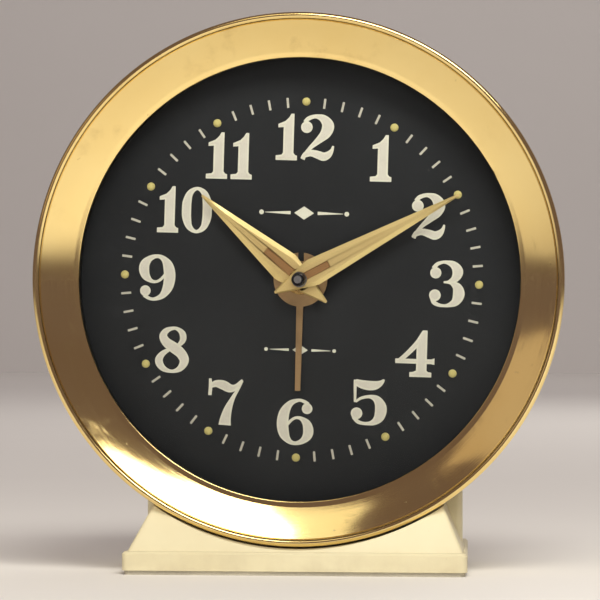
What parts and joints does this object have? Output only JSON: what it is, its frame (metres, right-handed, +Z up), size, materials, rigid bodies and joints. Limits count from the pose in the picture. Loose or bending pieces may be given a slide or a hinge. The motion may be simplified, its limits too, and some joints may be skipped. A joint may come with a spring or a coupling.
{
  "type": "table alarm clock",
  "caption": "Round key-wound table alarm clock with a dished gilt bezel, black dial, three hands and a flared cream foot.",
  "frame": {"origin": "centre of the foot's underside", "axes": "+Z up, the dial faces -Y, +X is to the viewer's right"},
  "size_m": [0.1, 0.0538, 0.105],
  "materials": {
    "foot_plastic": "satin cream moulded plastic",
    "pad_felt": "matt pale pad",
    "steel": "plain steel",
    "weight_iron": "rough iron",
    "case_paint": "cream enamel on pressed steel",
    "gilt": "polished gilt brass",
    "clear_crystal": "clear moulded crystal",
    "black_plastic": "matt black",
    "dial_black": "satin black dial",
    "brass": "rolled brass",
    "spring_steel": "tempered spring steel",
    "bell_steel": "nickel plated bell",
    "hand_gilt": "bevelled gilt hands"
  },
  "bodies": {
    "case": {"base_foot": "foot_plastic", "base_pad": "pad_felt", "base_weight": "weight_iron", "base_screws": "steel", "base_nuts": "steel", "case_drum": "case_paint", "bezel": "gilt", "crystal": "clear_crystal", "dial_ring": "black_plastic", "dial": "dial_black", "back_cover": "case_paint", "cover_screws": "steel", "front_plate": "brass", "back_plate": "brass", "pillars": "steel", "pillar_standoffs": "steel", "bell": "bell_steel", "time_mainspring": "spring_steel", "alarm_mainspring": "spring_steel", "hairspring": "spring_steel"},
    "minute_hand": {"minute_hand": "hand_gilt", "centre_cap": "hand_gilt", "centre_arbor": "steel", "cannon_pinion": "steel", "time_set_knob": "gilt"},
    "hour_hand": {"hour_hand": "hand_gilt", "hour_wheel": "brass"},
    "minute_wheel": {"minute_wheel": "brass"},
    "alarm_hand": {"alarm_hand": "hand_gilt", "alarm_wheel": "brass"},
    "alarm_set": {"alarm_set_arbor": "steel", "alarm_set_knob": "gilt"},
    "centre_wheel": {"centre_wheel": "brass", "centre_pinion": "steel"},
    "third_wheel": {"third_wheel": "brass", "third_arbor": "steel"},
    "fourth_wheel": {"fourth_wheel": "brass", "fourth_arbor": "steel"},
    "escape_wheel": {"escape_wheel": "brass", "escape_arbor": "steel"},
    "pallet_lever": {"pallet_lever": "steel"},
    "balance": {"balance_wheel": "brass", "balance_staff": "steel"},
    "regulator": {"regulator_lever": "steel"},
    "time_winding": {"time_winding_arbor": "steel", "time_ratchet_wheel": "brass", "time_winding_key": "gilt"},
    "time_great_wheel": {"time_great_wheel": "brass"},
    "time_click": {"time_click": "steel"},
    "alarm_winding": {"alarm_winding_arbor": "steel", "alarm_ratchet_wheel": "brass", "alarm_winding_key": "gilt"},
    "alarm_great_wheel": {"alarm_great_wheel": "brass"},
    "alarm_click": {"alarm_click": "steel"},
    "alarm_escape": {"alarm_escape_wheel": "brass"},
    "hammer": {"hammer": "steel"},
    "shutoff": {"shutoff_button": "gilt"}
  },
  "joints": [
    {"name": "minute_hand_turn", "type": "hinge", "parent": "case", "child": "minute_hand", "pos_m": [0, 0, 0.055], "axis": [0, 1, 0], "continuous": true},
    {"name": "hour_hand_turn", "type": "hinge", "parent": "case", "child": "hour_hand", "pos_m": [0, 0, 0.055], "axis": [0, 1, 0], "continuous": true},
    {"name": "minute_wheel_turn", "type": "hinge", "parent": "case", "child": "minute_wheel", "pos_m": [-0.00849, 0, 0.04651], "axis": [0, 1, 0], "continuous": true},
    {"name": "alarm_hand_turn", "type": "hinge", "parent": "case", "child": "alarm_hand", "pos_m": [0, 0, 0.055], "axis": [0, 1, 0], "continuous": true},
    {"name": "alarm_set_turn", "type": "hinge", "parent": "case", "child": "alarm_set", "pos_m": [0.01028, 0, 0.06726], "axis": [0, 1, 0], "continuous": true},
    {"name": "fourth_wheel_turn", "type": "hinge", "parent": "case", "child": "fourth_wheel", "pos_m": [-0.01611, 0, 0.0726], "axis": [0, 1, 0], "continuous": true},
    {"name": "centre_wheel_turn", "type": "hinge", "parent": "case", "child": "centre_wheel", "pos_m": [0, 0, 0.055], "axis": [0, 1, 0], "continuous": true},
    {"name": "third_wheel_turn", "type": "hinge", "parent": "case", "child": "third_wheel", "pos_m": [-0.00493, 0, 0.06853], "axis": [0, 1, 0], "continuous": true},
    {"name": "escape_wheel_turn", "type": "hinge", "parent": "case", "child": "escape_wheel", "pos_m": [-0.01798, 0, 0.06197], "axis": [0, 1, 0], "continuous": true},
    {"name": "time_great_wheel_turn", "type": "hinge", "parent": "case", "child": "time_great_wheel", "pos_m": [0.01474, 0, 0.04468], "axis": [0, 1, 0], "continuous": true},
    {"name": "pallet_rock", "type": "hinge", "parent": "case", "child": "pallet_lever", "pos_m": [-0.02314, 0, 0.05835], "axis": [0, 1, 0], "range_deg": [-4, 4]},
    {"name": "balance_swing", "type": "hinge", "parent": "case", "child": "balance", "pos_m": [-0.03101, 0, 0.05285], "axis": [0, 1, 0], "range_deg": [-220, 220], "stiffness_Nm_per_rad": 0.000002},
    {"name": "regulator_turn", "type": "hinge", "parent": "case", "child": "regulator", "pos_m": [-0.03101, 0, 0.05285], "axis": [0, 1, 0], "range_deg": [-20, 20]},
    {"name": "time_winding_turn", "type": "hinge", "parent": "case", "child": "time_winding", "pos_m": [0.01474, 0, 0.04468], "axis": [0, 1, 0], "continuous": true},
    {"name": "time_click_rock", "type": "hinge", "parent": "time_great_wheel", "child": "time_click", "pos_m": [0.01603, 0, 0.05196], "axis": [0, 1, 0], "range_deg": [-12, 0], "stiffness_Nm_per_rad": 0.0002},
    {"name": "alarm_winding_turn", "type": "hinge", "parent": "case", "child": "alarm_winding", "pos_m": [-0.01474, 0, 0.04468], "axis": [0, 1, 0], "continuous": true},
    {"name": "alarm_great_wheel_turn", "type": "hinge", "parent": "case", "child": "alarm_great_wheel", "pos_m": [-0.01474, 0, 0.04468], "axis": [0, 1, 0], "continuous": true},
    {"name": "alarm_click_rock", "type": "hinge", "parent": "alarm_great_wheel", "child": "alarm_click", "pos_m": [-0.01539, 0, 0.05205], "axis": [0, 1, 0], "range_deg": [-12, 0], "stiffness_Nm_per_rad": 0.0002},
    {"name": "alarm_escape_turn", "type": "hinge", "parent": "case", "child": "alarm_escape", "pos_m": [-0.01474, 0, 0.02928], "axis": [0, 1, 0], "continuous": true},
    {"name": "hammer_swing", "type": "hinge", "parent": "case", "child": "hammer", "pos_m": [-0.00882, 0, 0.02712], "axis": [0, 1, 0], "range_deg": [-4, 6]},
    {"name": "shutoff_slide", "type": "slide", "parent": "case", "child": "shutoff", "axis": [0, 1, 0], "range_m": [0, 0.003]}
  ],
  "couplings": [
    {"joint": "hour_hand_turn", "follows": "minute_hand_turn", "ratio": 0.083333},
    {"joint": "minute_wheel_turn", "follows": "minute_hand_turn", "ratio": -0.33333},
    {"joint": "alarm_set_turn", "follows": "alarm_hand_turn", "ratio": -4.3333},
    {"joint": "third_wheel_turn", "follows": "fourth_wheel_turn", "ratio": -0.13333},
    {"joint": "centre_wheel_turn", "follows": "fourth_wheel_turn", "ratio": 0.016667},
    {"joint": "time_great_wheel_turn", "follows": "fourth_wheel_turn", "ratio": -0.0033333},
    {"joint": "escape_wheel_turn", "follows": "fourth_wheel_turn", "ratio": -8},
    {"joint": "alarm_escape_turn", "follows": "alarm_great_wheel_turn", "ratio": -6}
  ]
}
